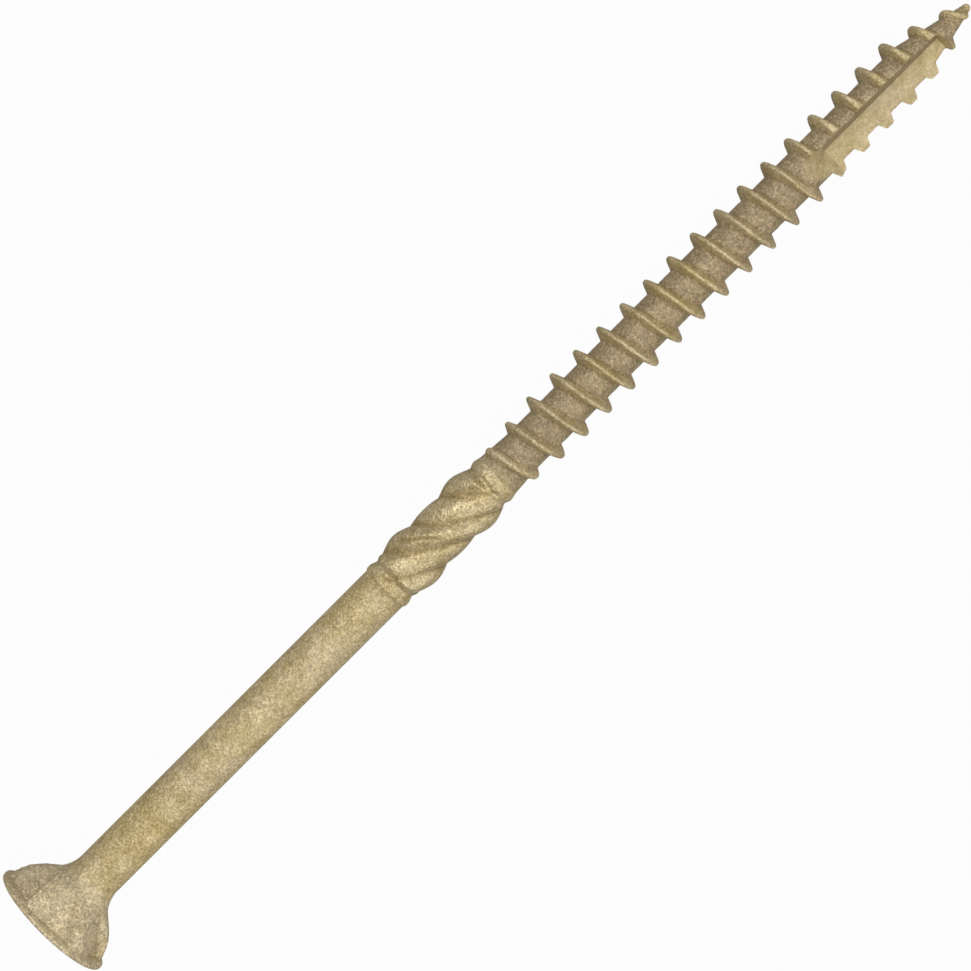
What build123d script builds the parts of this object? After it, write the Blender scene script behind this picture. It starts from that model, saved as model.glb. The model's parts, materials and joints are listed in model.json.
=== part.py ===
from build123d import *
import os
from math import atan2, ceil, cos, degrees, radians, sin, sqrt

# A construction screw, one piece of steel, in millimetres and degrees. It is drawn upright in a
# frame of its own: the head's flat top at zero, the axis along +Z and the tip at the far end. Turns
# are angles round the axis. At the end the screw is laid down on its rim and on the crest of its
# thread, with its notch rolled upwards and its heavier side below, as it comes to rest on a floor.

overall_length = 150.0

# Head: a thin round rim, a bulged bearing cone and a hollow curve into the shank
head_diameter = 15.7
head_height = 7.85
rim_height = 0.55
rim_bevel = 0.2
rim_overhang = 0.6
seat_depth = 0.85
seat_bulge = 0.4
shoulder_diameter = 9.9
shoulder_depth = 4.5
throat_flare = 0.93
throat_depth = 5.45
throat_sag = 0.18

# Cutting pockets in the bearing cone, deep and wide at the rim, shallow towards the shank
pocket_count = 6
pocket_end_depth = 5.2
pocket_rim_cut = 0.9
pocket_rim_width = 43.0
pocket_rim_turn = -30.0
pocket_throat_cut = 0.2
pocket_throat_width = 20.0
pocket_throat_turn = -54.0
pocket_throat_gap = 0.25
pocket_wall_lean = 5.0

# Six-lobe drive recess with a round lead-in and a shallow cone for its floor
recess_lobes = 6
recess_width = 5.85
recess_lobe_depth = 0.8
recess_lobe_radius = 0.5
recess_depth = 3.4
recess_floor_fall = 0.8
recess_lead_in = 0.5

# Plain shank, and the small collar and neck that rolling left at its end
shank_diameter = 5.9
collar_rise = 0.18
collar_width = 0.5
collar_slope = 0.2
neck_drop = 0.25
neck_length = 0.1

# Milling ribs: two large and two small lobes in the section, which turns along the axis. They
# bend to both sides of an even helix twice in a turn, as the blank gave way under the dies.
mill_length = 16.4
mill_lead = 18.34
mill_first_turn = 17.3
mill_bend = 0.72
mill_bend_turn = 17.0
mill_large_diameter = 7.3
mill_small_diameter = 6.6
mill_valley_diameter = 5.9
mill_crease_share = 0.14
mill_ramp_in = 1.0
mill_ramp_out = 0.9
mill_sunk_depth = 0.15
mill_sections = 16
mill_points = 48

# Plain stretch between the ribs and the thread, with a small collar at the ribs' end, from where
# the core tapers into the thread
plain_length = 2.65
plain_diameter = 5.8
back_collar_rise = 0.2
back_collar_width = 0.5
back_collar_slope = 0.9

# Thread: right-handed with a single start
thread_diameter = 8.0
root_diameter = 5.2
root_taper_length = 2.8
thread_length = 74.75
thread_pitch = 3.8
thread_first_turn = -71.5
thread_first_diameter = 6.5
thread_run_in_turns = 1.75
thread_foot_width = 1.38
thread_crest_width = 0.42
thread_sunk_depth = 0.25

# Point
point_length = 9.4
tip_diameter = 1.0
thread_tip_gap = 1.25
thread_tip_diameter = 2.4

# Notch along the point that clears the fibres: a narrow wall and a broad face
notch_length = 18.0
notch_tip_gap = 5.2
notch_run_in = 5.5
notch_run_out = 1.2
notch_wall_turn = -10.0
notch_face_turn = 112.0
notch_corner_offset = 0.1

# Turn that lies uppermost when the screw is at rest
rest_turn = 25.0

# Places along the axis: the thread, ribs and notch keep to the tip, and the shank takes the rest
point_start = overall_length - point_length
thread_end = overall_length - thread_tip_gap
thread_start = overall_length - thread_length
mill_end = thread_start - plain_length
mill_start = mill_end - mill_length
collar_end = mill_start - neck_length - collar_slope
collar_start = collar_end - collar_width
notch_end = overall_length - notch_tip_gap
notch_start = notch_end - notch_length

# Radii
head_radius = head_diameter / 2
seat_radius = head_radius - rim_overhang
shank_radius = shank_diameter / 2
throat_radius = shank_radius + throat_flare
collar_radius = shank_radius + collar_rise
neck_radius = shank_radius - neck_drop
plain_radius = plain_diameter / 2
back_collar_radius = plain_radius + back_collar_rise
root_radius = root_diameter / 2
thread_radius = thread_diameter / 2
tip_radius = tip_diameter / 2


def polar(radius, turn):
    """The point at a radius and a turn round the axis."""
    return Vector(radius * cos(radians(turn)), radius * sin(radians(turn)))


def beside(start, end, sag):
    """The point beside the middle of two others, moved square to their line."""
    first, last = Vector(*start), Vector(*end)
    run = (last - first).normalized()
    return (first + last) * 0.5 + Vector(run.Y, -run.X) * sag


def pocket_outline(face_radius, cut, wall_turn, width):
    """A pocket's section: a steep wall and a long floor that rises to the cone's face."""
    corner = polar(face_radius - cut, wall_turn - pocket_wall_lean)
    wall_run = (polar(face_radius, wall_turn) - corner).normalized()
    floor_run = (polar(face_radius, wall_turn - width) - corner).normalized()
    return Polyline(
        corner, corner + wall_run * head_radius, corner + floor_run * head_radius, close=True
    )


# Lobes of the recess are round and meet round hollows, whose radius makes the two arcs touch
lobe_pitch = 360 / recess_lobes
waist_radius = recess_width / 2 - recess_lobe_depth
lobe_centre = recess_width / 2 - recess_lobe_radius
lobe_share = lobe_centre * cos(radians(lobe_pitch / 2))
hollow_radius = (
    lobe_centre**2 + waist_radius**2 - 2 * waist_radius * lobe_share - recess_lobe_radius**2
) / (2 * (recess_lobe_radius - waist_radius + lobe_share))


def touch_point(lobe_turn, side):
    """Where a lobe meets the hollow on one side of it."""
    lobe = polar(lobe_centre, lobe_turn)
    hollow = polar(waist_radius + hollow_radius, lobe_turn + side * lobe_pitch / 2)
    return lobe + (hollow - lobe) * (recess_lobe_radius / (recess_lobe_radius + hollow_radius))


seat = (seat_radius, seat_depth)
shoulder = (shoulder_diameter / 2, shoulder_depth)
throat = (throat_radius, throat_depth)
shank_top = (shank_radius, head_height)
tip_centre = (0, overall_length - tip_radius)

# The bare body: all that is round about the axis, then the head's pockets and recess
with BuildPart() as body:
    with BuildSketch(Plane.XZ):
        with BuildLine():
            Polyline(
                (0, overall_length),
                (0, 0),
                (head_radius - rim_bevel, 0),
                (head_radius, rim_bevel),
                (head_radius, rim_height),
                seat,
            )
            ThreePointArc(seat, beside(seat, shoulder, seat_bulge), shoulder)
            Line(shoulder, throat)
            ThreePointArc(throat, beside(throat, shank_top, -throat_sag), shank_top)
            Polyline(
                shank_top,
                (shank_radius, collar_start - collar_slope),
                (collar_radius, collar_start),
                (collar_radius, collar_end),
                (neck_radius, collar_end + collar_slope),
                (neck_radius, mill_end),
                (back_collar_radius, mill_end),
                (back_collar_radius, mill_end + back_collar_width),
                (plain_radius, mill_end + back_collar_width + back_collar_slope),
                (root_radius, thread_start + root_taper_length),
                (root_radius, point_start),
                (tip_radius, overall_length - tip_radius),
            )
            CenterArc(tip_centre, tip_radius, 0, 90)
        make_face()
    revolve(axis=Axis.Z)

    for index in range(pocket_count):
        turn = index * 360 / pocket_count
        with BuildSketch(Plane.XY.offset(seat_depth)):
            with BuildLine():
                pocket_outline(seat_radius, pocket_rim_cut, turn + pocket_rim_turn, pocket_rim_width)
            make_face()
        with BuildSketch(Plane.XY.offset(pocket_end_depth)):
            with BuildLine():
                pocket_outline(
                    throat_radius + pocket_throat_gap,
                    pocket_throat_cut,
                    turn + pocket_throat_turn,
                    pocket_throat_width,
                )
            make_face()
        loft(mode=Mode.SUBTRACT)

    with BuildSketch():
        with BuildLine():
            for index in range(recess_lobes):
                turn = index * lobe_pitch
                ThreePointArc(
                    touch_point(turn, -1), polar(recess_width / 2, turn), touch_point(turn, 1)
                )
                ThreePointArc(
                    touch_point(turn, 1),
                    polar(waist_radius, turn + lobe_pitch / 2),
                    touch_point(turn + lobe_pitch, -1),
                )
        make_face()
    extrude(amount=recess_depth, mode=Mode.SUBTRACT)
    with BuildSketch(Plane.XZ):
        with BuildLine():
            Polyline(
                (0, 0),
                (recess_width / 2, 0),
                (waist_radius, recess_lead_in),
                (waist_radius, recess_depth),
                (0, recess_depth + recess_floor_fall),
                close=True,
            )
        make_face()
    revolve(axis=Axis.Z, mode=Mode.SUBTRACT)

# The milling ribs: sections whose radius follows a rule, joined into one smooth body. Where two
# lobes meet the rule is rounded a little, and at both ends the section sinks into the neck.


def rib_radius(turn, place):
    """The radius of the milling ribs at a turn and at a distance from the head's top."""
    crest_turn = mill_first_turn + 360 * (place - mill_start) / mill_lead
    bend = mill_bend * sin(radians(2 * (turn - mill_bend_turn)))
    lobe = cos(radians(2 * (turn - crest_turn + 360 * bend / mill_lead)))
    middle_radius = (mill_large_diameter + mill_small_diameter) / 4
    crest_radius = middle_radius + (mill_large_diameter - mill_small_diameter) / 4 * lobe
    share = sqrt(lobe**2 + mill_crease_share**2) / sqrt(1 + mill_crease_share**2)
    radius = valley_radius + (crest_radius - valley_radius) * share
    ramp = min(1, (place - mill_start) / mill_ramp_in, (mill_end - place) / mill_ramp_out)
    return mill_sunk_radius + (radius - mill_sunk_radius) * ramp


def rib_section(place):
    """The section of the milling ribs at a distance from the head's top."""
    points = [
        polar(rib_radius(index * 360 / mill_points, place), index * 360 / mill_points)
        for index in range(mill_points)
    ]
    with BuildSketch(Plane.XY.offset(place)) as section:
        with BuildLine():
            Spline(*points, periodic=True)
        make_face()
    return section.sketch


valley_radius = mill_valley_diameter / 2
mill_sunk_radius = neck_radius - mill_sunk_depth
ramp_in_end = mill_start + mill_ramp_in
ramp_out_start = mill_end - mill_ramp_out
mill_step = (ramp_out_start - ramp_in_end) / mill_sections
mill_places = [mill_start, (mill_start + ramp_in_end) / 2]
mill_places += [ramp_in_end + index * mill_step for index in range(mill_sections + 1)]
mill_places += [(ramp_out_start + mill_end) / 2, mill_end]

with BuildPart() as milling_ribs:
    loft([rib_section(place) for place in mill_places])

# The thread: four helical edges, two at its foot inside the core and two at its crest, with ruled
# faces between them. The crest starts low, rises, runs level and then follows the point down.
full_start = thread_start + thread_run_in_turns * thread_pitch
full_turns = (point_start - full_start) / thread_pitch
point_turns = (thread_end - point_start) / thread_pitch
point_fall = (root_radius - tip_radius) / (point_length - tip_radius)
sunk_radius = root_radius - thread_sunk_depth
sunk_tip_radius = sunk_radius - (thread_end - point_start) * point_fall
flank_spread = (thread_foot_width - thread_crest_width) / (thread_radius - root_radius)
foot_half_width = (thread_foot_width + flank_spread * thread_sunk_depth) / 2
crest_half_width = thread_crest_width / 2


def thread_edge(start, turns, radii, shift):
    """One edge of the thread, whose radius changes evenly from the first of two to the second."""
    first_radius, last_radius = radii
    rise = turns * thread_pitch
    lean = degrees(atan2(last_radius - first_radius, rise))
    edge = Edge.make_helix(
        pitch=thread_pitch / cos(radians(lean)), height=rise, radius=first_radius, angle=lean
    )
    turn = thread_first_turn + 360 * (start - thread_start) / thread_pitch
    return edge.moved(Location((0, 0, start + shift), (0, 0, turn)))


def thread_stretch(start, turns, crest_radii, foot_radii):
    """The four edges of a stretch of thread, in order round its section."""
    return [
        thread_edge(start, turns, foot_radii, -foot_half_width),
        thread_edge(start, turns, crest_radii, -crest_half_width),
        thread_edge(start, turns, crest_radii, crest_half_width),
        thread_edge(start, turns, foot_radii, foot_half_width),
    ]


def end_face(corners):
    """The flat end of the thread through its four corners."""
    return Face(Wire.make_polygon(corners, close=True))


level_crest = (thread_radius, thread_radius)
level_foot = (sunk_radius, sunk_radius)
run_in_crest = (thread_first_diameter / 2, thread_radius)
level_count = ceil(full_turns)
level_turns = full_turns / level_count
stretches = [thread_stretch(thread_start, thread_run_in_turns, run_in_crest, level_foot)]
for index in range(level_count):
    level_start = full_start + index * level_turns * thread_pitch
    stretches.append(thread_stretch(level_start, level_turns, level_crest, level_foot))
tip_crest = (thread_radius, thread_tip_diameter / 2)
tip_foot = (sunk_radius, sunk_tip_radius)
stretches.append(thread_stretch(point_start, point_turns, tip_crest, tip_foot))

thread_faces = [
    Face.make_surface_from_curves(edge, edges[(index + 1) % len(edges)])
    for edges in stretches
    for index, edge in enumerate(edges)
]
thread_faces.append(end_face([edge.position_at(0) for edge in stretches[0]]))
thread_faces.append(end_face([edge.position_at(1) for edge in stretches[-1]]))
thread = Solid(Shell(thread_faces))

# The notch's corner comes in along its wall from outside the thread, runs level and goes out again
notch_corner = Vector(0, notch_corner_offset)
notch_climb = thread_radius / sin(radians(notch_face_turn - notch_wall_turn))
outer_corner = notch_corner + polar(notch_climb, notch_wall_turn)


def notch_section(place, corner):
    """The notch's cut across the axis: its wall and its broad face meet at the corner."""
    with BuildSketch(Plane.XY.offset(place)) as section:
        with BuildLine():
            wall_end = corner + polar(2 * thread_diameter, notch_wall_turn)
            face_end = corner + polar(2 * thread_diameter, notch_face_turn)
            Polyline(corner, wall_end, face_end, close=True)
        make_face()
    return section.sketch


with BuildPart() as upright:
    add(body.part)
    add(milling_ribs.part)
    add(thread)
    loft(
        [
            notch_section(notch_start - notch_run_in, outer_corner),
            notch_section(notch_start, notch_corner),
        ],
        mode=Mode.SUBTRACT,
    )
    extrude(notch_section(notch_start, notch_corner), amount=notch_length, mode=Mode.SUBTRACT)
    loft(
        [
            notch_section(notch_end, notch_corner),
            notch_section(notch_end + notch_run_out, outer_corner),
        ],
        mode=Mode.SUBTRACT,
    )

# Lying at rest: the rim's lower edge and the last full crest touch the floor
rest_tilt = atan2(head_radius - thread_radius, point_start - rim_height)
lying = Plane(
    origin=(0, 0, 0),
    x_dir=(sin(rest_tilt), 0, cos(rest_tilt)),
    z_dir=(cos(rest_tilt), 0, -sin(rest_tilt)),
)
laid_down = lying.location * Location((0, 0, 0), (0, 0, -rest_turn)) * upright.part
bounds = laid_down.bounding_box()

with BuildPart() as construction_screw:
    with Locations((-bounds.center().X, -bounds.center().Y, -bounds.min.Z)):
        add(laid_down)

construction_screw.part.label = "construction_screw"
os.makedirs("parts", exist_ok=True)
export_step(construction_screw.part, "parts/construction_screw.step")
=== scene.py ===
import json
from math import cos, pi, radians, sin
from types import SimpleNamespace

import bpy
from bpy.props import FloatProperty, FloatVectorProperty, PointerProperty
from mathutils import Matrix, Vector


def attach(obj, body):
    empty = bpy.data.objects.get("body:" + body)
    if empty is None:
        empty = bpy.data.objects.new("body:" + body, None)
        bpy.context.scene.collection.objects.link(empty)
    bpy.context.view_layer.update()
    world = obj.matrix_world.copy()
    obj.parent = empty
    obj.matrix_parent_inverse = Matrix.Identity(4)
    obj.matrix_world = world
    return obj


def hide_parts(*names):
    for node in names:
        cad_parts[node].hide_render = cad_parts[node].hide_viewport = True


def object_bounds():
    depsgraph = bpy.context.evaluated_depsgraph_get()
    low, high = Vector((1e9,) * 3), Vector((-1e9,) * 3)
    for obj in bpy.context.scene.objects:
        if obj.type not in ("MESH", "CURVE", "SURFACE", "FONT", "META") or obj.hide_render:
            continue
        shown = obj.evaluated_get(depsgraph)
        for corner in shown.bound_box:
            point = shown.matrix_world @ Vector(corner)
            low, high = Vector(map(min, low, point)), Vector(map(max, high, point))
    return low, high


bl_info = {
    "name": "Construction screw",
    "version": (1, 0, 0),
    "blender": (4, 5, 0),
    "location": "3D View > Sidebar > Screw",
    "description": "Builds a coated construction screw over its CAD solid, with its stage",
    "category": "Object",
}

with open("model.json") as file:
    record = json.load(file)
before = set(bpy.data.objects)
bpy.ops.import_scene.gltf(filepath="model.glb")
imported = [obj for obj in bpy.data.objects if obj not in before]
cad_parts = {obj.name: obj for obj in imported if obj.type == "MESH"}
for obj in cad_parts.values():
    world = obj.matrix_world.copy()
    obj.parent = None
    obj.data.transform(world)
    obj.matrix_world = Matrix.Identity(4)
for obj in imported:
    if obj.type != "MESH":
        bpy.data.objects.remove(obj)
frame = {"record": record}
CAD_LOW, CAD_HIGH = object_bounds()

NODE = "construction_screw"
MM = 0.001

# The screw's own frame: the head's top is at place 0, places grow towards the tip, and turns round
# the axis are counted in degrees from the side that the photograph shows, which the screw's roll
# at rest holds a little off the uppermost side
REST_TURN = 25.0
MOUNTS = {mount["name"]: mount for mount in frame["record"]["mounts"]}
HEAD_TOP = Vector(MOUNTS["drive_recess"]["pos_m"])
AXIS = -Vector(MOUNTS["drive_recess"]["axis"]).normalized()
SIDE = Vector((0, -1, 0))
FACING = Matrix.Rotation(-radians(REST_TURN), 3, AXIS) @ SIDE.cross(AXIS).normalized()
QUARTER = AXIS.cross(FACING)

# Points round the axis, and rows of points along each zone; the thread's crowd at its crest
COLUMNS = 120
RECESS_ROWS = (10, 5, 4, 8)
HEAD_ROWS = (4, 2, 3, 3, 1, 40, 12, 24)
SHANK_ROWS = (40, 4, 4)
MILL_ROWS = 100
BACK_ROWS = (3, 4, 4)
THREAD_ROWS_PER_TURN = 24
THREAD_CROWDING = -0.5
TIP_ROWS = 8

# The smallest length or area that anything is divided by
LEAST = 1e-6

# Recess: six lobes, and how far past its wall the painted shade inside it fades out
LOBES = 6
RECESS_FADE = 0.3 * MM

# Cutting pockets under the head: turn and width in degrees, each at the rim and at the lower end.
# Every pocket is folded into one window of turns, and the columns of points swirl along with them
POCKET_TURNS = (-30.0, -54.0)
POCKET_WIDTHS = (43.0, 20.0)
POCKET_LEAN = 5.0
POCKET_WINDOW = (15.0, -45.0)
POCKET_END_GAP = 0.25 * MM
POCKET_CORNER_ROUND = 0.12 * MM
POCKET_EDGE_ROUND = 0.15 * MM
COLUMN_SWIRL = -24.0

# Burr that forming pressed up along the pockets' walls
BURR_RISE = 0.07 * MM
BURR_WIDTH = 0.16 * MM

# Rolled collars before and behind the milling ribs, and how they run into the ribs
COLLAR_WIDTH = 0.6 * MM
COLLAR_SLOPE = 0.25 * MM
COLLAR_RUN_OUT = 1.1 * MM
COLLAR_RUN_IN = 0.6 * MM
BACK_COLLAR_RISE = 0.2 * MM
BACK_COLLAR_WIDTH = 0.5 * MM
BACK_COLLAR_SLOPE = 0.9 * MM
BACK_COLLAR_PEAK = 0.7

# Milling ribs: how they turn and bend, how they rise out of the shank and fall back into it from
# a little below its skin, and how softly they meet it where their rise starts and where it ends
MILL_FIRST_TURN = 17.3
MILL_BEND_TURN = 17.0
MILL_CREASE = 0.14
MILL_RAMP_START = 0.4 * MM
MILL_RAMP_IN = 1.0 * MM
MILL_RAMP_OUT = 0.9 * MM
MILL_SUNK = 0.15 * MM
MILL_SOFTNESS = (0.3 * MM, 0.14 * MM)

# Groove that rolling left on a large rib: place from the ribs' start and turn, each at both ends,
# and the number of its fading lengths in its whole length
GROOVE_START = (3.87 * MM, -58.0)
GROOVE_END = (8.5 * MM, 12.0)
GROOVE_WIDTH = 0.25 * MM
GROOVE_SLANT = 0.72
GROOVE_FADES = 5

# Thread: where its crest starts, how it rises and ends, and how round its crest and foot are
THREAD_FIRST_TURN = -71.5
THREAD_RUN_IN_TURNS = 1.75
THREAD_START_SLOPE = 0.3 * MM
THREAD_END_SLOPE = 0.2 * MM
THREAD_SUNK = 0.25 * MM
THREAD_TIP_RADIUS = 1.2 * MM
THREAD_FILLET = 0.2 * MM
THREAD_CREST_ROUND = 0.3

# Notch: turns of its wall and its face, its corner, and how far behind the corner its cut aims
NOTCH_WALL_TURN = -10.0
NOTCH_FACE_TURN = 112.0
NOTCH_OFFSET = 0.1 * MM
NOTCH_REACH = 1.0 * MM

# How forming the notch pressed the thread: the turns and lengths that it reaches, and how much
# wider and lower the thread is beside the face and beside the wall
PRESS_FACE_TURNS = 30.0
PRESS_WALL_TURNS = 22.0
PRESS_START = 2.0 * MM
PRESS_END = 1.0 * MM
SPREAD_FACE = 0.35 * MM
SPREAD_WALL = 0.15 * MM
PRESS_FACE = 0.25 * MM
PRESS_WALL = 0.4

# Marks for the coating: widths of the painted shade in creases and of the painted shadow under the rim,
# and lengths over which a mark grows to its full value
POCKET_SHADE_WIDTH = 0.25 * MM
RIM_SHADOW_WIDTH = 0.25 * MM
FOOT_SHADE_WIDTH = 0.22 * MM
POCKET_SHADE_GROWTH = 0.3 * MM
FOOT_SHADE_GROWTH = 0.5 * MM
BARE_GROWTH = 1.5 * MM

# Seed of the rough core's grains
SEED = 7.0
# Edges that turn by more than this, in degrees, stay crisp
CRISP_ANGLE = 45.0
# Points nearer than this are one point where two sheets meet
WELD_DISTANCE = 0.001 * MM
# Size of the grains on the rough core
GRAIN_SIZE = 0.6 * MM

# The photograph's camera: near, a little tilted towards the head, and turned in its own plane
CAMERA_DISTANCE = 0.440
CAMERA_TILT = 4.09
CAMERA_TURN = 44.96
CAMERA_PLACE = 72.07 * MM
CAMERA_ASIDE = 0.1906 * MM
IMAGE_PIXELS = 971
PIXELS_PER_METRE = 8658.7
SENSOR = 36.0

# Sizes of the painted glints and of the coating's unevenness, in millimetres, and how deep the
# unevenness is
GLINT_SIZE = 0.2
SPECKLE_SIZE = 0.24
COATING_GRAIN_SIZE = 0.6
MOTTLE_SIZE = 2.0
DRIFT_SIZE = 9.0
COATING_DEPTH = 0.12 * MM

# In millimetres from the head's top: where the forged head's skin ends, the length over which it
# does so, and the stretch that the dies of the milling ribs burnished
FORGED_END = 7.5
FORGED_FADE = 2.0
RIBBED = (55.5, 74.0)

# Soft light: name, turn round the screw, lean towards its head, distance, width and watts
LAMPS = (("key", 46.0, -10.0, 0.5, 0.9, 2.4), ("gleam", -24.0, -6.0, 0.5, 0.25, 0.95))
WORLD_STRENGTH = 0.2

# Half the floor's width, and the share of plain white that the camera sees in it
FLOOR_REACH = 1.5
FLOOR_WHITE = 0.97


def length(name, millimetres, description):
    """A size in the sidebar, given here in millimetres."""
    return FloatProperty(
        name=name, description=description, default=millimetres * MM, unit="LENGTH", precision=4
    )


class ScrewSizes(bpy.types.PropertyGroup):
    """Sizes of the screw, which become the inputs of its node tree."""

    overall_length: length("Overall length", 150, "From the head's top to the tip")
    head_diameter: length("Head diameter", 15.7, "Across the head's rim")
    head_height: length("Head height", 7.85, "From the head's top to the plain shank")
    rim_height: length("Rim height", 0.55, "Height of the head's round rim")
    rim_rounding: length("Rim rounding", 0.16, "Radius of the rim's worn edges")
    seat_diameter: length("Seat diameter", 14.5, "Top of the bearing cone, below the rim")
    seat_depth: length("Seat depth", 0.85, "From the head's top to the bearing cone")
    seat_bulge: length("Seat bulge", 0.4, "How far the bearing cone bulges")
    shoulder_diameter: length("Shoulder diameter", 9.9, "Lower end of the bulged cone")
    shoulder_depth: length("Shoulder depth", 4.5, "From the head's top to the cone's lower end")
    throat_diameter: length("Throat diameter", 7.76, "Start of the hollow into the shank")
    throat_depth: length("Throat depth", 5.45, "From the head's top to the hollow")
    throat_sag: length("Throat sag", 0.18, "Depth of the hollow")
    pocket_end_depth: length("Pocket end", 5.2, "From the head's top to the pockets' ends")
    pocket_rim_cut: length("Pocket depth", 0.9, "Depth of a pocket at the rim")
    pocket_throat_cut: length("Pocket end depth", 0.2, "Depth of a pocket at its lower end")
    recess_width: length("Recess width", 5.85, "Across the lobes of the recess")
    recess_waist: length("Recess waist", 4.25, "Across the hollows of the recess")
    recess_lobe_radius: length("Lobe radius", 0.5, "Radius of a lobe of the recess")
    recess_depth: length("Recess depth", 3.4, "From the head's top to the recess's floor")
    recess_floor_fall: length("Recess floor fall", 0.8, "Depth of the coned floor")
    recess_lead_in: length("Recess lead-in", 0.5, "Depth of the round lead-in")
    shank_diameter: length("Shank diameter", 5.9, "Across the plain shank")
    collar_rise: length("Collar rise", 0.18, "Rise of the small rolled collar")
    neck_drop: length("Neck drop", 0.25, "Depth of the neck behind the collar")
    mill_length: length("Rib length", 16.4, "Length of the milling ribs")
    mill_lead: length("Rib lead", 18.34, "Length in which the ribs turn once")
    mill_large_diameter: length("Large rib diameter", 7.3, "Across the two large ribs")
    mill_small_diameter: length("Small rib diameter", 6.6, "Across the two small ribs")
    mill_valley_diameter: length("Rib valley diameter", 5.9, "Across the valleys between ribs")
    mill_bend: length("Rib bend", 0.72, "How far the ribs bend off an even helix")
    groove_depth: length("Groove depth", 0.16, "Depth of the rolled groove on a large rib")
    plain_length: length("Plain length", 2.65, "Between the ribs and the thread")
    plain_diameter: length("Plain diameter", 5.8, "Across the stretch behind the ribs")
    thread_diameter: length("Thread diameter", 8.0, "Over the crests of the thread")
    root_diameter: length("Core diameter", 5.2, "Across the thread's core")
    root_taper: length("Core taper", 2.8, "From the thread's start to the level core")
    thread_length: length("Thread length", 74.75, "From the thread's start to the tip")
    thread_first_diameter: length("Thread start diameter", 6.5, "Over the thread where it starts")
    thread_pitch: length("Thread pitch", 3.8, "From crest to crest")
    thread_foot_width: length("Thread foot width", 1.38, "Width of the thread at the core")
    thread_crest_width: length("Thread crest width", 0.42, "Width of the thread at its crest")
    thread_tip_gap: length("Thread end gap", 1.25, "From the thread's end to the tip")
    point_length: length("Point length", 9.4, "Length of the tapered point")
    tip_diameter: length("Tip diameter", 1.0, "Across the rounded tip")
    notch_length: length("Notch length", 18, "Level part of the notch")
    notch_tip_gap: length("Notch end gap", 5.2, "From the notch's level part to the tip")
    notch_run_in: length("Notch run-in", 5.5, "Length of the notch's run-in")
    notch_run_out: length("Notch run-out", 1.2, "Length of the notch's run-out")
    root_roughness: length("Core roughness", 0.055, "How far the rolled core is uneven")


def colour(name, red, green, blue, description):
    """A colour in the sidebar, given here as 0 to 1 on screen."""
    shades = [((share + 0.055) / 1.055) ** 2.4 for share in (red, green, blue)]
    return FloatVectorProperty(
        name=name, description=description, default=shades, size=3, min=0, max=1, subtype="COLOR"
    )


class ScrewColours(bpy.types.PropertyGroup):
    """Colours of the coating, of its painted shade and painted glints, and of the stage."""

    coating: colour("Coating", 0.78, 0.70, 0.49, "Golden-olive coating")
    grey_coating: colour("Grey coating", 0.785, 0.72, 0.58, "Where the coating is thin and greyish")
    # Painted shade: the dark colour that creases, hollows and the recess are blended towards
    painted_shade_colour: colour("Ochre", 0.58, 0.49, 0.30, "Where the coating gathers in creases")
    root: colour("Rough core", 0.74, 0.66, 0.52, "The rough core of the thread")
    cut_wall: colour("Notch wall", 0.60, 0.53, 0.40, "The narrow wall of the notch")
    # Near-white of painted glints; the forged head is also paled a little towards it
    glint: colour("Sparkle", 0.92, 0.88, 0.78, "Small bright grains of the coating")
    floor: colour("Floor", 0.7, 0.7, 0.7, "Pale floor")
    sky: colour("Sky", 1.0, 0.96, 0.86, "Faint warm light from all round")


class Field:
    """A node's output that takes part in Python expressions."""

    def __init__(self, graph, socket):
        self.graph = graph
        self.socket = socket

    def __add__(self, other):
        return maths("ADD", self, other)

    def __radd__(self, other):
        return maths("ADD", other, self)

    def __sub__(self, other):
        return maths("SUBTRACT", self, other)

    def __rsub__(self, other):
        return maths("SUBTRACT", other, self)

    def __mul__(self, other):
        return maths("MULTIPLY", self, other)

    def __rmul__(self, other):
        return maths("MULTIPLY", other, self)

    def __truediv__(self, other):
        return maths("DIVIDE", self, other)

    def __rtruediv__(self, other):
        return maths("DIVIDE", other, self)

    def __neg__(self):
        return maths("MULTIPLY", self, -1.0)

    def __lt__(self, other):
        return maths("LESS_THAN", self, other)

    def __gt__(self, other):
        return maths("GREATER_THAN", self, other)


class Graph:
    """Adds nodes to a shader or geometry tree."""

    def __init__(self, tree):
        self.tree = tree
        tree.nodes.clear()

    def node(self, kind, settings=None, inputs=None):
        """A node with its settings made first, then the values or links of its inputs."""
        made = self.tree.nodes.new(kind)
        for name, value in (settings or {}).items():
            setattr(made, name, value)
        for name, value in (inputs or {}).items():
            if isinstance(value, Field):
                self.tree.links.new(value.socket, made.inputs[name])
            else:
                made.inputs[name].default_value = value
        return made

    def field(self, kind, settings=None, inputs=None, output=0):
        """One output of a new node."""
        return Field(self, self.node(kind, settings, inputs).outputs[output])


def maths(operation, *terms):
    """A Math node on fields and plain numbers."""
    graph = next(term.graph for term in terms if isinstance(term, Field))
    return graph.field("ShaderNodeMath", {"operation": operation}, dict(enumerate(terms)))


def sine(turn):
    """The sine of a turn in degrees."""
    return maths("SINE", turn * (pi / 180))


def cosine(turn):
    """The cosine of a turn in degrees."""
    return maths("COSINE", turn * (pi / 180))


def root_of(value):
    """The square root, or 0 below 0."""
    return maths("SQRT", maths("MAXIMUM", value, 0.0))


def lesser(first, second):
    """The smaller of two values."""
    return maths("MINIMUM", first, second)


def greater(first, second):
    """The larger of two values."""
    return maths("MAXIMUM", first, second)


def soft_lesser(first, second, width):
    """The smaller of two values, rounded where they meet."""
    return maths("SMOOTH_MIN", first, second, width)


def soft_greater(first, second, width):
    """The larger of two values, rounded where they meet."""
    return maths("SMOOTH_MAX", first, second, width)


def share_of(value):
    """The value held between 0 and 1."""
    return value.graph.field("ShaderNodeClamp", None, {"Value": value})


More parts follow.
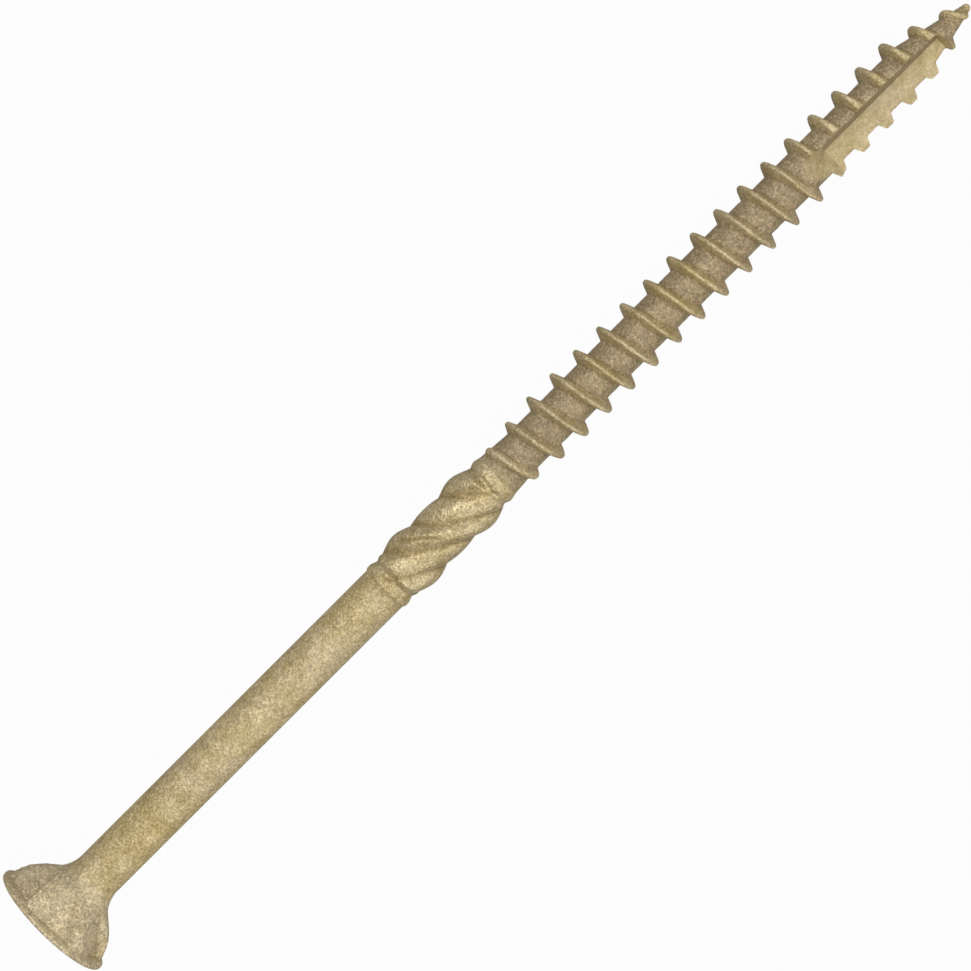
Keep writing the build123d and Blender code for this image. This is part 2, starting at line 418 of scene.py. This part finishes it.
def near(first, second, share):
    """The value at a share of the way from the first to the second."""
    return first + (second - first) * share


def hump(distance, width):
    """1 at no distance, falling smoothly to 0 past the width."""
    return maths("EXPONENT", -(distance / width) * (distance / width))


def walk(row, stations, counts):
    """The value at a row, on even steps from each station to the next in so many rows."""
    value = stations[0]
    start = 0
    for first, last, count in zip(stations, stations[1:], counts):
        value = value + (last - first) * share_of((row - start) / count)
        start += count
    return value


def cross(first, second):
    """The cross product of two flat points."""
    return first[0] * second[1] - first[1] * second[0]


def polar(radius, turn):
    """The flat point at a radius and a turn; both are fields."""
    return (radius * cosine(turn), radius * sine(turn))


def along(first, second, share):
    """The flat point at a share of the way from the first to the second."""
    return (near(first[0], second[0], share), near(first[1], second[1], share))


def direction(turn):
    """The flat direction at a turn that is a plain number."""
    return (cos(radians(turn)), sin(radians(turn)))


class Shape:
    """The geometry tree of the screw: its size inputs and the sheets that make up its skin."""

    def __init__(self, tree):
        self.graph = Graph(tree)
        self.sockets = {}
        for key, kind in ScrewSizes.__annotations__.items():
            socket = tree.interface.new_socket(
                kind.keywords["name"], in_out="INPUT", socket_type="NodeSocketFloat"
            )
            self.sockets[key] = socket.identifier
        inputs = self.graph.node("NodeGroupInput")
        tree.interface.new_socket("Mesh", in_out="OUTPUT", socket_type="NodeSocketGeometry")
        fields = {
            key: Field(self.graph, inputs.outputs[kind.keywords["name"]])
            for key, kind in ScrewSizes.__annotations__.items()
        }
        self.size = SimpleNamespace(**fields)

    def sheet(self, rows, rule):
        """A sheet of points round the screw; the rule places a point by its row and turn."""
        graph = self.graph
        grid = graph.field(
            "GeometryNodeMeshGrid", None, {"Vertices X": rows + 1, "Vertices Y": COLUMNS + 1}
        )
        index = graph.field("GeometryNodeInputIndex")
        row = maths("FLOOR", (index + 0.5) / (COLUMNS + 1))
        turn = (index - row * (COLUMNS + 1)) * (360 / COLUMNS)
        point, place, marks = rule(row, turn)
        x, y, z = (
            HEAD_TOP[k] + AXIS[k] * place + FACING[k] * point[0] + QUARTER[k] * point[1]
            for k in range(3)
        )
        spot = graph.field("ShaderNodeCombineXYZ", None, {"X": x, "Y": y, "Z": z})
        mesh = graph.field("GeometryNodeSetPosition", None, {"Geometry": grid, "Position": spot})
        for name, value in {"place": place / MM, **marks}.items():
            mesh = graph.field(
                "GeometryNodeStoreNamedAttribute",
                {"data_type": "FLOAT", "domain": "POINT"},
                {"Geometry": mesh, "Name": name, "Value": value},
            )
        return mesh


def lobed_radius(size, turn):
    """The radius of the recess's wall, where round lobes meet round hollows."""
    half_pitch = 180 / LOBES
    lobe_centre = size.recess_width / 2 - size.recess_lobe_radius
    waist = size.recess_waist / 2
    lobe_share = lobe_centre * cos(radians(half_pitch))
    hollow = (
        lobe_centre * lobe_centre
        + waist * waist
        - 2 * waist * lobe_share
        - size.recess_lobe_radius * size.recess_lobe_radius
    ) / (2 * (size.recess_lobe_radius - waist + lobe_share))
    hollow_centre = waist + hollow
    touch_share = size.recess_lobe_radius / (size.recess_lobe_radius + hollow)
    towards = direction(half_pitch)
    hollow_middle = (hollow_centre * towards[0], hollow_centre * towards[1])
    touch = along((lobe_centre, 0.0), hollow_middle, touch_share)
    touch_turn = maths("ARCTAN2", touch[1], touch[0]) * (180 / pi)
    folded = maths("ABSOLUTE", maths("WRAP", turn, half_pitch, -half_pitch))
    aside = lobe_centre * sine(folded)
    lobe_square = size.recess_lobe_radius * size.recess_lobe_radius
    lobe = lobe_centre * cosine(folded) + root_of(lobe_square - aside * aside)
    across = hollow_centre * sine(half_pitch - folded)
    inward = hollow_centre * cosine(half_pitch - folded) - root_of(hollow * hollow - across * across)
    return near(inward, lobe, folded < touch_turn)


def recess_rule(size):
    """The recess from the middle of its floor, and the head's flat top."""

    def rule(row, turn):
        wall = lobed_radius(size, turn)
        waist = size.recess_waist / 2
        mouth = size.recess_width / 2
        wall_top = size.recess_lead_in * (mouth - wall) / (mouth - waist)
        rim = size.head_diameter / 2 - size.rim_rounding
        radius = walk(row, (0.0, wall, wall, mouth, rim), RECESS_ROWS)
        floor_middle = size.recess_depth + size.recess_floor_fall
        place = walk(row, (floor_middle, size.recess_depth, wall_top, 0.0, 0.0), RECESS_ROWS)
        # Painted shade over the recess's floor and wall, fading out past its wall
        inside = 1 - share_of((radius - wall) / RECESS_FADE)
        return polar(radius, turn), place, {"painted_shade": inside, "rise": 0.5 - 0.3 * inside}

    return rule


def pocket_radius(size, turn, place):
    """How far out a cutting pocket lets the cone's face stand, and where its corner lies."""
    share = share_of((place - size.seat_depth) / (size.pocket_end_depth - size.seat_depth))
    rim_face = size.seat_diameter / 2
    end_face = size.throat_diameter / 2 + POCKET_END_GAP

    def between(rim_drop, rim_turn, end_drop, end_turn):
        first, last = direction(rim_turn), direction(end_turn)
        rim_radius, end_radius = rim_face - rim_drop, end_face - end_drop
        start = (rim_radius * first[0], rim_radius * first[1])
        return along(start, (end_radius * last[0], end_radius * last[1]), share)

    rim_turn, end_turn = POCKET_TURNS
    rim_width, end_width = POCKET_WIDTHS
    corner = between(
        size.pocket_rim_cut,
        rim_turn - POCKET_LEAN,
        size.pocket_throat_cut,
        end_turn - POCKET_LEAN,
    )
    wall = between(0.0, rim_turn, 0.0, end_turn)
    floor = between(0.0, rim_turn - rim_width, 0.0, end_turn - end_width)
    wall_run = (wall[0] - corner[0], wall[1] - corner[1])
    floor_run = (floor[0] - corner[0], floor[1] - corner[1])
    corner_turn = maths("ARCTAN2", corner[1], corner[0]) * (180 / pi)
    folded = maths("WRAP", turn - corner_turn, *POCKET_WINDOW) + corner_turn
    ray = (cosine(folded), sine(folded))
    wall_line = cross(corner, wall_run) / greater(cross(ray, wall_run), LEAST)
    floor_line = cross(floor_run, corner) / greater(cross(floor_run, ray), LEAST)
    return wall_line, floor_line


def head_rule(size):
    """The head from its flat top's edge down to the plain shank."""

    def rule(row, turn):
        edge = size.head_diameter / 2
        worn = size.rim_rounding
        starts = [sum(HEAD_ROWS[:k]) for k in range(len(HEAD_ROWS) + 1)]
        shares = [share_of((row - start) / count) for start, count in zip(starts, HEAD_ROWS)]
        upper, side, lower, overhang, shelf, cone, line, hollow = shares
        seat = (size.seat_diameter / 2, size.seat_depth)
        shoulder = (size.shoulder_diameter / 2, size.shoulder_depth)
        throat = (size.throat_diameter / 2, size.throat_depth)
        shank = (size.shank_diameter / 2, size.head_height)
        radius = edge - worn * (1 - sine(upper * 90)) - worn * (1 - cosine(lower * 90))
        place = worn * (1 - cosine(upper * 90)) + (size.rim_height - 2 * worn) * side
        place = place + worn * sine(lower * 90)
        radius = radius + (seat[0] - edge + worn) * overhang
        place = place + (seat[1] - size.rim_height) * overhang
        for start, end, sag, share in (
            (seat, shoulder, size.seat_bulge, cone),
            (shoulder, throat, 0.0, line),
            (throat, shank, -size.throat_sag, hollow),
        ):
            run = (end[0] - start[0], end[1] - start[1])
            reach = root_of(run[0] * run[0] + run[1] * run[1])
            bow = 4 * sag * share * (1 - share)
            radius = radius + run[0] * share + bow * run[1] / reach
            place = place + run[1] * share - bow * run[0] / reach
        swirled = turn + COLUMN_SWIRL * share_of(
            (place - size.seat_depth) / (size.pocket_end_depth - size.seat_depth)
        )
        wall_line, floor_line = pocket_radius(size, swirled, place)
        cut = soft_greater(wall_line, floor_line, POCKET_CORNER_ROUND)
        cut_radius = soft_lesser(radius, cut, POCKET_EDGE_ROUND)
        burr = hump(wall_line - radius, BURR_WIDTH) * (wall_line > floor_line) * shelf * (1 - hollow)
        depth = (radius - cut_radius) * shelf - BURR_RISE * burr
        # Painted shade in each pocket's deep corner, and a painted shadow under the rim's overhang
        painted_shade = hump(wall_line - floor_line, POCKET_SHADE_WIDTH) * share_of(depth / POCKET_SHADE_GROWTH)
        shadow_under_rim = hump(place - (size.rim_height + size.seat_depth) / 2, RIM_SHADOW_WIDTH)
        marks = {"painted_shade": greater(painted_shade * 0.7, shadow_under_rim * 0.5 * overhang), "rise": 0.5}
        return polar(radius - depth, swirled), place, marks

    return rule


def shank_places(size):
    """Places of the milling ribs, which keep to the tip."""
    thread_start = size.overall_length - size.thread_length
    mill_end = thread_start - size.plain_length
    return mill_end - size.mill_length, mill_end


def shank_rule(size):
    """The plain shank with the small collar that rolling left."""

    def rule(row, turn):
        mill_start, _ = shank_places(size)
        shank = size.shank_diameter / 2
        collar = shank + size.collar_rise
        collar_start = mill_start - COLLAR_WIDTH
        radius = walk(row, (shank, shank, collar, collar), SHANK_ROWS)
        stations = (size.head_height, collar_start - COLLAR_SLOPE, collar_start, mill_start)
        place = walk(row, stations, SHANK_ROWS)
        return polar(radius, turn), place, {"rise": 0.5}

    return rule


def mill_rule(size):
    """The milling ribs: two large and two small lobes in a section that turns along the axis."""

    def rule(row, turn):
        mill_start, mill_end = shank_places(size)
        share = row / MILL_ROWS
        place = near(mill_start, mill_end, share)
        twist = maths("ROUND", size.mill_length / size.mill_lead * COLUMNS) * (360 / COLUMNS)
        turned = turn + twist * share
        crest_turn = MILL_FIRST_TURN + 360 * (place - mill_start) / size.mill_lead
        bend = size.mill_bend * sine(2 * (turned - MILL_BEND_TURN))
        lobe = cosine(2 * (turned - crest_turn + 360 * bend / size.mill_lead))
        middle = (size.mill_large_diameter + size.mill_small_diameter) / 4
        crest = middle + (size.mill_large_diameter - size.mill_small_diameter) / 4 * lobe
        fullness = root_of(lobe * lobe + MILL_CREASE**2) / (1 + MILL_CREASE**2) ** 0.5
        valley = size.mill_valley_diameter / 2
        shank = size.shank_diameter / 2
        neck = shank - size.neck_drop
        run_out = share_of(1 - (place - mill_start) / COLLAR_RUN_OUT)
        run_in = share_of(1 - (mill_end - place) / COLLAR_RUN_IN)
        base = neck + (size.collar_rise + size.neck_drop) * run_out
        base = base + (size.plain_diameter / 2 + BACK_COLLAR_RISE / 2 - neck) * run_in
        sunk = neck - MILL_SUNK
        ramp_in = (place - mill_start - MILL_RAMP_START) / MILL_RAMP_IN
        ramp = share_of(lesser(ramp_in, (mill_end - place) / MILL_RAMP_OUT))
        rib = near(sunk, near(valley, crest, fullness), ramp)
        groove_share = (place - mill_start - GROOVE_START[0]) / (GROOVE_END[0] - GROOVE_START[0])
        groove_turn = near(GROOVE_START[1], GROOVE_END[1], groove_share)
        aside = maths("WRAP", turned - groove_turn, 180.0, -180.0) * (pi / 180) * crest
        groove = hump(aside * GROOVE_SLANT, GROOVE_WIDTH)
        groove = groove * share_of(groove_share * GROOVE_FADES)
        groove = groove * share_of((1 - groove_share) * GROOVE_FADES)
        softness = near(*MILL_SOFTNESS, ramp)
        radius = soft_greater(base, rib - size.groove_depth * groove, softness)
        # Painted shade in the valleys between the ribs and in the rolled groove
        marks = {"painted_shade": greater(1 - share_of(fullness * 2), groove), "rise": share_of(fullness)}
        return polar(radius, turned), place, marks

    return rule


def back_rule(size):
    """The plain stretch behind the ribs with its small collar."""

    def rule(row, turn):
        _, mill_end = shank_places(size)
        plain = size.plain_diameter / 2
        collar = plain + BACK_COLLAR_RISE
        radius = walk(row, (plain + BACK_COLLAR_RISE / 2, collar, collar, plain), BACK_ROWS)
        collar_end = mill_end + BACK_COLLAR_WIDTH
        peak = mill_end + BACK_COLLAR_WIDTH * BACK_COLLAR_PEAK
        stations = (mill_end, peak, collar_end, collar_end + BACK_COLLAR_SLOPE)
        return polar(radius, turn), walk(row, stations, BACK_ROWS), {"rise": 0.3}

    return rule


def pressed(size, turn, place):
    """How much forming the notch pressed a point of the thread, beside its face and its wall."""
    notch_end = size.overall_length - size.notch_tip_gap
    notch_start = notch_end - size.notch_length
    inside = share_of((place - notch_start) / PRESS_START + 1)
    inside = inside * share_of((notch_end - place) / PRESS_END + 1)
    face_aside = maths("WRAP", turn - NOTCH_FACE_TURN, 180.0, -180.0)
    wall_aside = maths("WRAP", turn - NOTCH_WALL_TURN, 180.0, -180.0)
    return hump(face_aside, PRESS_FACE_TURNS) * inside, hump(wall_aside, PRESS_WALL_TURNS) * inside


def notched(size, point, place):
    """The point after the notch has cut it: what stands beyond both of its planes moves inwards."""
    notch_end = size.overall_length - size.notch_tip_gap
    notch_start = notch_end - size.notch_length
    climb = size.thread_diameter / 2 / sin(radians(NOTCH_FACE_TURN - NOTCH_WALL_TURN))
    before = (notch_start - place) / size.notch_run_in
    beyond = (place - notch_end) / size.notch_run_out
    out = share_of(greater(before, beyond))
    wall, face = direction(NOTCH_WALL_TURN), direction(NOTCH_FACE_TURN)
    corner = (climb * out * wall[0], NOTCH_OFFSET + climb * out * wall[1])
    middle = direction((NOTCH_WALL_TURN + NOTCH_FACE_TURN) / 2)
    inner = (corner[0] - NOTCH_REACH * middle[0], corner[1] - NOTCH_REACH * middle[1])
    run = (point[0] - inner[0], point[1] - inner[1])
    to_corner = (NOTCH_REACH * middle[0], NOTCH_REACH * middle[1])
    wall_share = cross(wall, to_corner) / greater(cross(wall, run), LEAST)
    face_share = cross(to_corner, face) / greater(cross(run, face), LEAST)
    share = lesser(greater(wall_share, face_share), 1.0)
    share = near(1.0, share, out < 1.0)
    cut = share_of((1 - share) * 50)
    on_wall = cut * (wall_share > face_share) * (1 - share_of(out * 10))
    moved = (inner[0] + run[0] * share, inner[1] + run[1] * share)
    return moved, cut, on_wall


def thread_rule(size):
    """The thread on its core: rows of points follow its helix, closest together at the crest."""

    def rule(row, turn):
        pitch = size.thread_pitch
        thread_start = size.overall_length - size.thread_length
        thread_end = size.overall_length - size.thread_tip_gap
        point_start = size.overall_length - size.point_length
        _, mill_end = shank_places(size)
        low = mill_end + BACK_COLLAR_WIDTH + BACK_COLLAR_SLOPE
        high = size.overall_length - size.tip_diameter / 2
        crest_at_zero = thread_start - pitch * THREAD_FIRST_TURN / 360
        skipped = maths("CEIL", (crest_at_zero + pitch - low) / pitch)
        step = row / THREAD_ROWS_PER_TURN
        crowded = step + THREAD_CROWDING / (2 * pi) * sine(360 * step)
        place = crest_at_zero + pitch * (crowded - skipped + turn / 360)
        place = lesser(greater(place, low), high)

        count = (place - crest_at_zero) / pitch - turn / 360
        aside = (count - maths("ROUND", count)) * pitch
        crest_place = place - aside
        beside_face, beside_wall = pressed(size, turn, place)
        root = size.root_diameter / 2
        core = near(root, size.tip_diameter / 2, share_of((place - point_start) / (high - point_start)))
        taper_end = thread_start + size.root_taper
        tapered = share_of((taper_end - place) / (taper_end - low))
        core = core + (size.plain_diameter / 2 - root) * tapered
        full = size.thread_diameter / 2
        rising = share_of((crest_place - thread_start) / (THREAD_RUN_IN_TURNS * pitch))
        falling = share_of((crest_place - point_start) / (thread_end - point_start))
        crest = near(size.thread_first_diameter / 2, full, rising)
        crest = near(crest, THREAD_TIP_RADIUS, falling)
        lives = share_of((crest_place - thread_start) / THREAD_START_SLOPE + 1)
        lives = lives * share_of((thread_end - crest_place) / THREAD_END_SLOPE + 1)
        sunk = core - THREAD_SUNK
        crest = near(sunk, greater(crest, sunk), lives)
        spread = (size.thread_foot_width - size.thread_crest_width) / (full - root)
        foot_half = (size.thread_foot_width + spread * THREAD_SUNK) / 2
        crest_half = size.thread_crest_width / 2
        swell = SPREAD_FACE * beside_face + SPREAD_WALL * beside_wall
        slope = (foot_half + swell - maths("ABSOLUTE", aside)) / (foot_half - crest_half)
        profile = soft_lesser(greater(slope, 0.0), 1.0, THREAD_CREST_ROUND)
        crest = crest - PRESS_FACE * beside_face - (crest - core) * PRESS_WALL * beside_wall
        radius = soft_greater(core, near(sunk, crest, profile), THREAD_FILLET)
        point, cut, on_wall = notched(size, polar(radius, turn), place)
        height = share_of((radius - core) / (full - root))
        bare = (1 - share_of(height * 2.5)) * (1 - cut)
        bare = bare * share_of((place - low) / BARE_GROWTH) * share_of((high - place) / BARE_GROWTH)
        # Painted shade along the thread's feet
        foot = hump(maths("ABSOLUTE", aside) - size.thread_foot_width / 2, FOOT_SHADE_WIDTH)
        foot = foot * share_of((crest - core) / FOOT_SHADE_GROWTH) * (1 - cut)
        marks = {
            "painted_shade": foot * 0.35,
            "rise": height * (1 - cut),
            "rough": bare,
            "cut": cut,
            "wall": on_wall,
        }
        return point, place, marks

    return rule


def tip_rule(size):
    """The rounded tip."""

    def rule(row, turn):
        angle = row * (90 / TIP_ROWS)
        radius = size.tip_diameter / 2
        place = size.overall_length - radius + radius * sine(angle)
        return polar(radius * cosine(angle), turn), place, {"rise": 0.5}

    return rule


def shape_screw(tree, material):
    """Fills the screw's tree: sheets from the recess to the tip, welded, roughened and finished."""
    shape = Shape(tree)
    graph, size = shape.graph, shape.size
    _, mill_end = shank_places(size)
    thread_reach = size.overall_length - mill_end
    thread_turns = maths("CEIL", thread_reach / size.thread_pitch) + 1
    sheets = [
        shape.sheet(sum(RECESS_ROWS), recess_rule(size)),
        shape.sheet(sum(HEAD_ROWS), head_rule(size)),
        shape.sheet(sum(SHANK_ROWS), shank_rule(size)),
        shape.sheet(MILL_ROWS, mill_rule(size)),
        shape.sheet(sum(BACK_ROWS), back_rule(size)),
        shape.sheet(thread_turns * THREAD_ROWS_PER_TURN, thread_rule(size)),
        shape.sheet(TIP_ROWS, tip_rule(size)),
    ]
    joined = graph.node("GeometryNodeJoinGeometry")
    for sheet in reversed(sheets):
        graph.tree.links.new(sheet.socket, joined.inputs[0])
    whole = Field(graph, joined.outputs[0])
    weld = {"Geometry": whole, "Distance": WELD_DISTANCE}
    welded = graph.field("GeometryNodeMergeByDistance", None, weld)
    flipped = graph.field("GeometryNodeFlipFaces", None, {"Mesh": welded})
    rough = graph.field("GeometryNodeInputNamedAttribute", {"data_type": "FLOAT"}, {"Name": "rough"})
    where = graph.field("GeometryNodeInputPosition")
    grained = {"Vector": where, "W": SEED, "Scale": 1 / GRAIN_SIZE, "Detail": 3.0}
    grain = graph.field("ShaderNodeTexNoise", {"noise_dimensions": "4D"}, grained)
    push = (grain - 0.5) * 2 * rough * size.root_roughness
    normal = graph.field("GeometryNodeInputNormal")
    pushed = {"Vector": normal, "Scale": push}
    offset = graph.field("ShaderNodeVectorMath", {"operation": "SCALE"}, pushed)
    bumpy = graph.field("GeometryNodeSetPosition", None, {"Geometry": flipped, "Offset": offset})
    smooth = graph.field("GeometryNodeSetShadeSmooth", None, {"Geometry": bumpy, "Shade Smooth": True})
    angle = graph.field("GeometryNodeInputMeshEdgeAngle")
    crisp = graph.field(
        "GeometryNodeSetShadeSmooth",
        {"domain": "EDGE"},
        {"Geometry": smooth, "Selection": angle > radians(CRISP_ANGLE), "Shade Smooth": False},
    )
    real = graph.field("GeometryNodeRealizeInstances", None, {"Geometry": crisp})
    finished = graph.field("GeometryNodeSetMaterial", None, {"Geometry": real, "Material": material})
    output = graph.node("NodeGroupOutput")
    graph.tree.links.new(finished.socket, output.inputs[0])
    return shape.sockets


def coated_steel(colours):
    """Satin golden-olive coating on steel: mottled and finely speckled, with painted shade in creases
    and hollows, a painted highlight on raised parts, and painted glints.
    """
    material = bpy.data.materials.new("coated_steel")
    material.use_nodes = True
    graph = Graph(material.node_tree)
    where = graph.field("ShaderNodeTexCoord", output="Object")

    def noise(millimetres, detail, seed):
        """Smooth noise from 0 to 1, with lumps of this size."""
        inputs = {"Vector": where, "W": seed, "Scale": 1 / (millimetres * MM), "Detail": detail}
        return graph.field("ShaderNodeTexNoise", {"noise_dimensions": "4D"}, inputs)

    def mark(name):
        """A mark that the screw's tree stored on its skin."""
        return graph.field(
            "ShaderNodeAttribute", {"attribute_name": name, "attribute_type": "GEOMETRY"}, output="Fac"
        )

    def blend(share, first, second):
        """The colour at a share of the way from the first to the second."""
        settings = {"data_type": "RGBA", "blend_type": "MIX", "clamp_result": False}
        return graph.field("ShaderNodeMix", settings, {0: share, 6: first, 7: second}, output=2)

    def paint(shade):
        """A colour of the sidebar with full alpha."""
        return (*shade, 1.0)

    speckle = noise(SPECKLE_SIZE, 2.0, 1.0) - 0.5
    grain = noise(COATING_GRAIN_SIZE, 3.0, 2.0) - 0.5
    mottle = noise(MOTTLE_SIZE, 3.0, 3.0) - 0.5
    drift = noise(DRIFT_SIZE, 2.0, 4.0) - 0.5
    glint = share_of(noise(GLINT_SIZE, 1.0, 5.0) * 6 - 3.7)
    painted_shade, rough, rise = mark("painted_shade"), mark("rough"), mark("rise")
    cut, wall = mark("cut"), mark("wall")
    place = mark("place")
    forged = share_of((FORGED_END - place) / FORGED_FADE)
    burnished = share_of(place - RIBBED[0]) * share_of(RIBBED[1] - place)

    # Paler and greyer on the forged head, on the notch's cut and at random; raised ribs and thread are
    # made paler still as a painted highlight
    greyish = 0.4 + forged * 0.6 + cut * 0.3 + rise * 0.3 + drift * 2 + mottle * 2 + speckle * 1.5
    shade = blend(share_of(greyish), paint(colours.coating), paint(colours.grey_coating))
    shade = blend(share_of(rough * 0.9), shade, paint(colours.root))
    # Painted shade: creases, hollows, rib valleys and the thread's feet are blended towards the dark
    # colour
    shade = blend(share_of(painted_shade * (0.8 + grain)), shade, paint(colours.painted_shade_colour))
    shade = blend(share_of(wall), shade, paint(colours.cut_wall))
    # Painted glints: small spots blended towards near-white, more on the rough core and the ribs, fewer
    # on the notch's cut; the forged head is paled a little as well
    bright = glint * (0.35 + 0.3 * rough + 0.2 * burnished - 0.2 * cut) + forged * 0.15
    shade = blend(bright, shade, paint(colours.glint))

    tone = speckle * (2.0 + forged * 0.3 + rough * 0.4 - cut) + mottle * 0.7
    tone = tone + grain * (0.6 + forged * 0.3)
    # Painted shade in the thread's roots and the ribs' valleys, and a little painted light on what
    # stands higher; the notch's cut is lighter
    tone = tone + (share_of(rise * 5) - 0.8) * 0.35 + cut * 0.31
    shade = graph.field(
        "ShaderNodeVectorMath",
        {"operation": "SCALE"},
        {"Vector": shade, "Scale": maths("EXPONENT", tone)},
    )
    uneven = speckle + grain * (0.6 + rough * 0.3 + forged * 0.4)
    bump = graph.field(
        "ShaderNodeBump",
        None,
        {"Strength": 1.0, "Distance": COATING_DEPTH, "Height": uneven * (1 - cut * 0.6)},
        output="Normal",
    )
    surface = graph.node(
        "ShaderNodeBsdfPrincipled",
        None,
        {
            "Base Color": shade,
            "Metallic": share_of(0.25 + 0.25 * burnished - 0.1 * rough - 0.2 * painted_shade),
            "Roughness": share_of(0.45 + grain * 0.3 - 0.08 * burnished + 0.2 * painted_shade),
            "Normal": bump,
        },
    )
    output = graph.node("ShaderNodeOutputMaterial")
    graph.tree.links.new(surface.outputs[0], output.inputs["Surface"])
    return material


def pale_floor(colours):
    """A matt floor that the camera sees as white, with the screw's soft shadow on it."""
    material = bpy.data.materials.new("pale_floor")
    material.use_nodes = True
    graph = Graph(material.node_tree)
    seen = graph.field("ShaderNodeLightPath", output="Is Camera Ray")
    matt = graph.field("ShaderNodeBsdfDiffuse", None, {"Color": (*colours.floor, 1.0)})
    white = graph.field("ShaderNodeEmission", None, {"Color": (1.0, 1.0, 1.0, 1.0), "Strength": 1.0})
    mixed = graph.field("ShaderNodeMixShader", None, {0: seen * FLOOR_WHITE, 1: matt, 2: white})
    output = graph.node("ShaderNodeOutputMaterial")
    graph.tree.links.new(mixed.socket, output.inputs["Surface"])
    return material


def add_object(name, data):
    """A new object in the scene that holds the data, at the origin."""
    made = bpy.data.objects.new(name, data)
    bpy.context.scene.collection.objects.link(made)
    return made


def look(position, target, up):
    """The placing of a camera or lamp that looks from a position at a target."""
    back = (position - target).normalized()
    right = up.cross(back).normalized()
    top = back.cross(right)
    turned = Matrix((right, top, back)).transposed().to_4x4()
    return Matrix.Translation(position) @ turned


def add_lamp(name, turn, lean, distance, width, watts):
    """A square soft lamp at a turn round the screw, leaning towards its head."""
    lamp = bpy.data.lights.new(name, "AREA")
    lamp.shape = "SQUARE"
    lamp.size = width
    lamp.energy = watts
    target = HEAD_TOP + AXIS * CAMERA_PLACE
    side = FACING * cos(radians(turn)) + QUARTER * sin(radians(turn))
    towards = side * cos(radians(lean)) - AXIS * sin(radians(lean))
    made = add_object(name, lamp)
    made.matrix_world = look(target + towards * distance, target, AXIS)


class SCREW_OT_body(bpy.types.Operator):
    """Build the screw's skin over its CAD solid"""

    bl_idname = "screw.body"
    bl_label = "Screw"

    def execute(self, context):
        sizes = context.scene.screw_sizes
        material = coated_steel(context.scene.screw_colours)
        tree = bpy.data.node_groups.new("screw_shape", "GeometryNodeTree")
        sockets = shape_screw(tree, material)
        draft = add_object("draft", bpy.data.meshes.new("draft"))
        modifier = draft.modifiers.new("shape", "NODES")
        modifier.node_group = tree
        for key, identifier in sockets.items():
            modifier[identifier] = getattr(sizes, key)
        depsgraph = context.evaluated_depsgraph_get()
        mesh = bpy.data.meshes.new_from_object(draft.evaluated_get(depsgraph))
        draft.modifiers.clear()
        bpy.data.objects.remove(draft)
        if not mesh.polygons:
            raise RuntimeError("the node tree gave no faces")
        mesh.name = "screw_skin"
        skin = add_object("screw_skin", mesh)
        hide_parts(NODE)
        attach(skin, "root")
        return {"FINISHED"}


class SCREW_OT_stage(bpy.types.Operator):
    """Build the floor, the soft light and the camera"""

    bl_idname = "screw.stage"
    bl_label = "Stage"

    def execute(self, context):
        scene = context.scene
        mesh = bpy.data.meshes.new("floor")
        reach = FLOOR_REACH
        level = CAD_LOW.z
        sides = ((-1, -1), (1, -1), (1, 1), (-1, 1))
        corners = [(reach * side[0], reach * side[1], level) for side in sides]
        mesh.from_pydata(corners, [], [(0, 1, 2, 3)])
        mesh.materials.append(pale_floor(scene.screw_colours))
        add_object("floor", mesh)

        world = bpy.data.worlds.new("studio")
        world.use_nodes = True
        graph = Graph(world.node_tree)
        seen = graph.field("ShaderNodeLightPath", output="Is Camera Ray")
        white = graph.field("ShaderNodeBackground", None, {"Color": (1.0, 1.0, 1.0, 1.0)})
        tint = (*scene.screw_colours.sky, 1.0)
        sky = graph.field("ShaderNodeBackground", None, {"Color": tint, "Strength": WORLD_STRENGTH})
        mixed = graph.field("ShaderNodeMixShader", None, {0: seen, 1: sky, 2: white})
        output = graph.node("ShaderNodeOutputWorld")
        graph.tree.links.new(mixed.socket, output.inputs["Surface"])
        scene.world = world

        for lamp in LAMPS:
            add_lamp(*lamp)

        camera = bpy.data.cameras.new("camera")
        camera.sensor_width = SENSOR
        half_width = IMAGE_PIXELS / 2 / PIXELS_PER_METRE
        camera.lens = SENSOR / 2 * CAMERA_DISTANCE / half_width
        tilt, turn = radians(CAMERA_TILT), radians(CAMERA_TURN)
        back = FACING * cos(tilt) + AXIS * sin(tilt)
        ahead = (AXIS - back * AXIS.dot(back)).normalized()
        up = ahead * sin(turn) - QUARTER * cos(turn)
        target = HEAD_TOP + AXIS * CAMERA_PLACE - QUARTER * CAMERA_ASIDE
        made = add_object("camera", camera)
        made.matrix_world = look(target + back * CAMERA_DISTANCE, target, up)
        scene.camera = made
        scene.view_settings.view_transform = "Standard"
        return {"FINISHED"}


class SCREW_PT_sidebar(bpy.types.Panel):
    """The screw's sizes, colours and steps"""

    bl_idname = "SCREW_PT_sidebar"
    bl_label = "Construction screw"
    bl_space_type = "VIEW_3D"
    bl_region_type = "UI"
    bl_category = "Screw"

    def draw(self, context):
        for step in STEPS:
            self.layout.operator(step.bl_idname)
        for group in (context.scene.screw_colours, context.scene.screw_sizes):
            column = self.layout.column()
            for key in group.__annotations__:
                column.prop(group, key)


STEPS = (SCREW_OT_body, SCREW_OT_stage)
CLASSES = (ScrewSizes, ScrewColours, *STEPS, SCREW_PT_sidebar)


def register():
    for made in CLASSES:
        bpy.utils.register_class(made)
    bpy.types.Scene.screw_sizes = PointerProperty(type=ScrewSizes)
    bpy.types.Scene.screw_colours = PointerProperty(type=ScrewColours)


def unregister():
    del bpy.types.Scene.screw_colours
    del bpy.types.Scene.screw_sizes
    for made in reversed(CLASSES):
        bpy.utils.unregister_class(made)


def main():
    register()
    bpy.ops.screw.body()
    bpy.ops.screw.stage()


if __name__ == "__main__":
    main()
